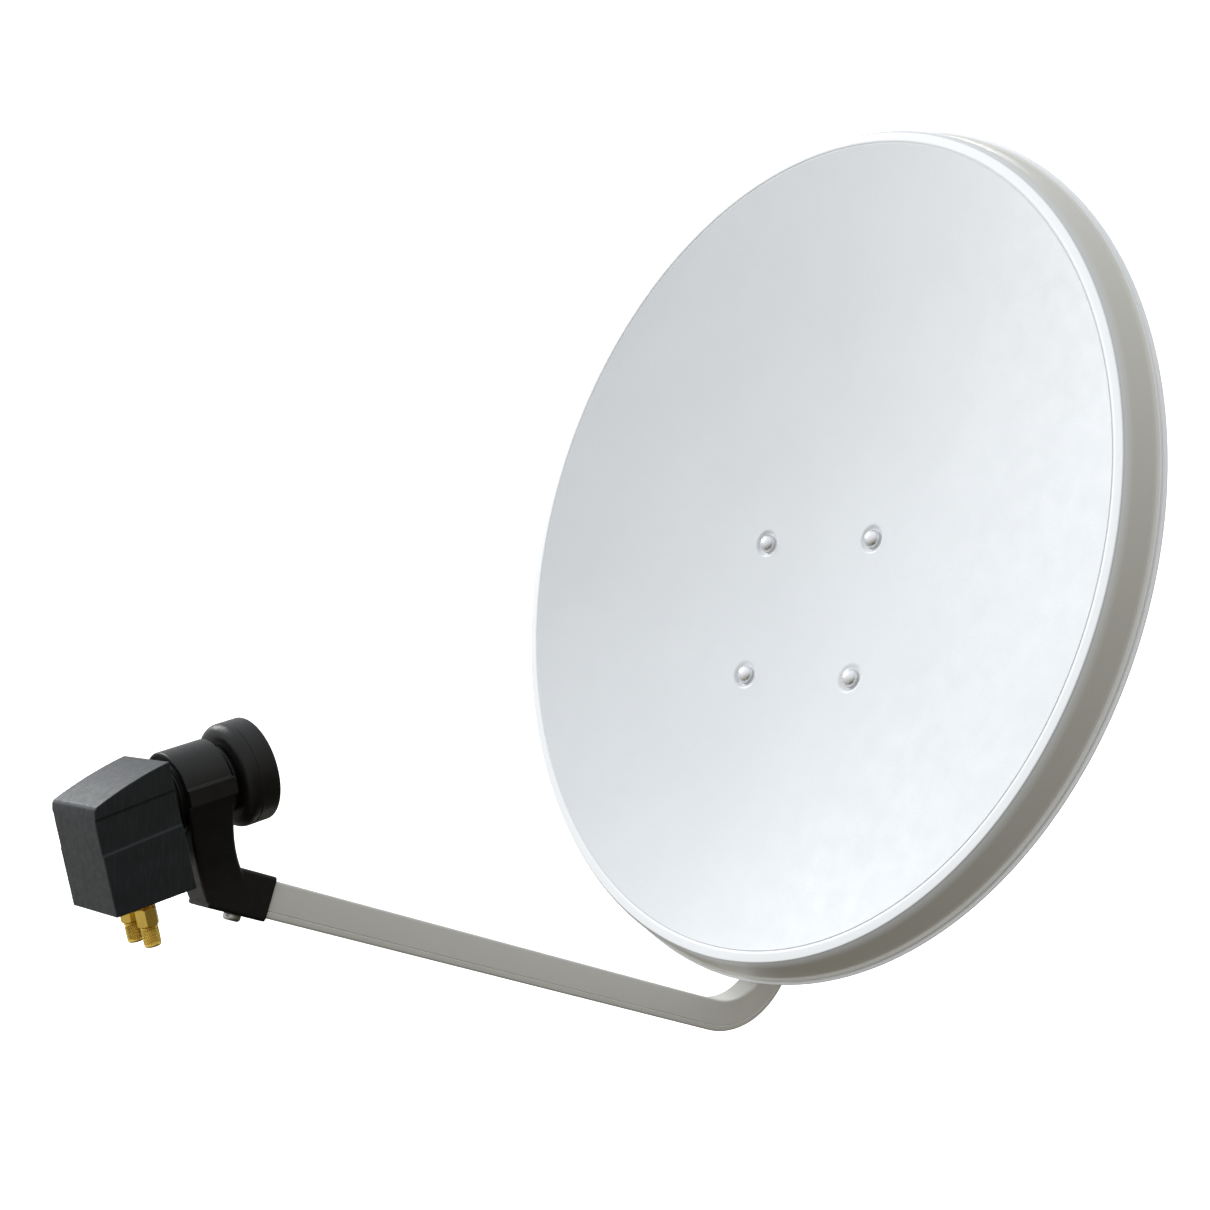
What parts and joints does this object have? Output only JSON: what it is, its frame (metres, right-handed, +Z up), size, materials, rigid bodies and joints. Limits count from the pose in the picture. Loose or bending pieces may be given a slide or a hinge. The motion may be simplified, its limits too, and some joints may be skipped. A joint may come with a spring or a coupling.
{
  "type": "satellite dish",
  "caption": "Offset satellite dish with mast clamp, elevation bracket, feed arm and a feed head with two screwed-on coaxial plugs.",
  "frame": {"origin": "middle of the mast clamp, on the mast's axis", "axes": "+Z up along the mast, the reflector faces -Y, +X to the right seen along +Y"},
  "size_m": [0.6, 0.7569, 0.6772],
  "materials": {
    "white_paint": "powder coated, satin",
    "grey_paint": "painted, satin",
    "zinc": "zinc plated",
    "black_plastic": "moulded, fine grain",
    "slate_plastic": "moulded, fine grain",
    "gold": "gold plated",
    "lens_plastic": "smooth",
    "blue_plastic": "smooth",
    "green_plastic": "smooth",
    "cast_metal": "die cast",
    "board": "solder mask",
    "seal_rubber": "matt"
  },
  "bodies": {
    "mast_bracket": {"mast_channel": "zinc", "mast_saddles": "zinc", "clamp_bolts": "zinc", "pivot_bolts": "zinc", "pivot_washers": "zinc", "pivot_nuts": "zinc", "lock_bolts": "zinc", "lock_washers": "zinc"},
    "upper_jaw_body": {"upper_jaw": "zinc", "upper_jaw_nuts": "zinc"},
    "lower_jaw_body": {"lower_jaw": "zinc", "lower_jaw_nuts": "zinc"},
    "wing_left": {"wing_nut_left": "zinc"},
    "wing_right": {"wing_nut_right": "zinc"},
    "dish": {"reflector": "white_paint", "reflector_bolts": "zinc", "reflector_spacers": "black_plastic", "reflector_washers": "zinc", "reflector_nuts": "zinc", "dish_bracket": "zinc", "arm_socket": "zinc", "arm_bolts": "zinc", "arm_nuts": "zinc", "feed_arm": "grey_paint", "arm_end_cap": "black_plastic", "lnb_holder": "black_plastic", "holder_bolt": "zinc", "holder_nut": "zinc"},
    "holder_strap": {"holder_cap": "black_plastic"},
    "feed_head": {"lnb_housing": "slate_plastic", "lnb_base": "slate_plastic", "lnb_neck": "black_plastic", "feed_cap": "black_plastic", "feed_lens": "lens_plastic", "lnb_waveguide": "cast_metal", "lnb_board": "board", "lnb_probes": "gold", "port_barrels": "gold", "port_seals": "seal_rubber", "port_insulator_blue": "blue_plastic", "port_insulator_green": "green_plastic"},
    "plug_a": {"plug_a_sleeve": "gold"},
    "plug_a_nut_body": {"plug_a_nut": "gold"},
    "plug_b": {"plug_b_sleeve": "gold"},
    "plug_b_nut_body": {"plug_b_nut": "gold"}
  },
  "joints": [
    {"name": "elevation", "type": "hinge", "parent": "mast_bracket", "child": "dish", "pos_m": [0, -0.08, -0.025], "axis": [1, 0, 0], "range_deg": [-12, 20]},
    {"name": "upper_jaw_slide", "type": "slide", "parent": "mast_bracket", "child": "upper_jaw_body", "axis": [0, 1, 0], "range_m": [0, 0.014]},
    {"name": "lower_jaw_slide", "type": "slide", "parent": "mast_bracket", "child": "lower_jaw_body", "axis": [0, 1, 0], "range_m": [0, 0.014]},
    {"name": "wing_left_turn", "type": "hinge", "parent": "mast_bracket", "child": "wing_left", "pos_m": [-0.04, -0.08, 0.027], "axis": [1, 0, 0], "continuous": true},
    {"name": "wing_right_turn", "type": "hinge", "parent": "mast_bracket", "child": "wing_right", "pos_m": [0.04, -0.08, 0.027], "axis": [1, 0, 0], "continuous": true},
    {"name": "strap_lift", "type": "slide", "parent": "dish", "child": "holder_strap", "axis": [0, -0.23, 0.9732], "range_m": [0, 0.03]},
    {"name": "feed_skew", "type": "hinge", "parent": "dish", "child": "feed_head", "pos_m": [0, -0.64141, -0.09753], "axis": [0, 0.9732, 0.23], "range_deg": [-30, 30]},
    {"name": "plug_a_pull", "type": "slide", "parent": "feed_head", "child": "plug_a", "axis": [0, 0.23, -0.9732], "range_m": [0, 0.012]},
    {"name": "plug_b_pull", "type": "slide", "parent": "feed_head", "child": "plug_b", "axis": [0, 0.23, -0.9732], "range_m": [0, 0.012]},
    {"name": "plug_a_nut_turn", "type": "hinge", "parent": "plug_a", "child": "plug_a_nut_body", "pos_m": [0.01, -0.67295, -0.16407], "axis": [0, 0.23, -0.9732], "continuous": true},
    {"name": "plug_b_nut_turn", "type": "hinge", "parent": "plug_b", "child": "plug_b_nut_body", "pos_m": [-0.01, -0.67295, -0.16407], "axis": [0, 0.23, -0.9732], "continuous": true}
  ]
}
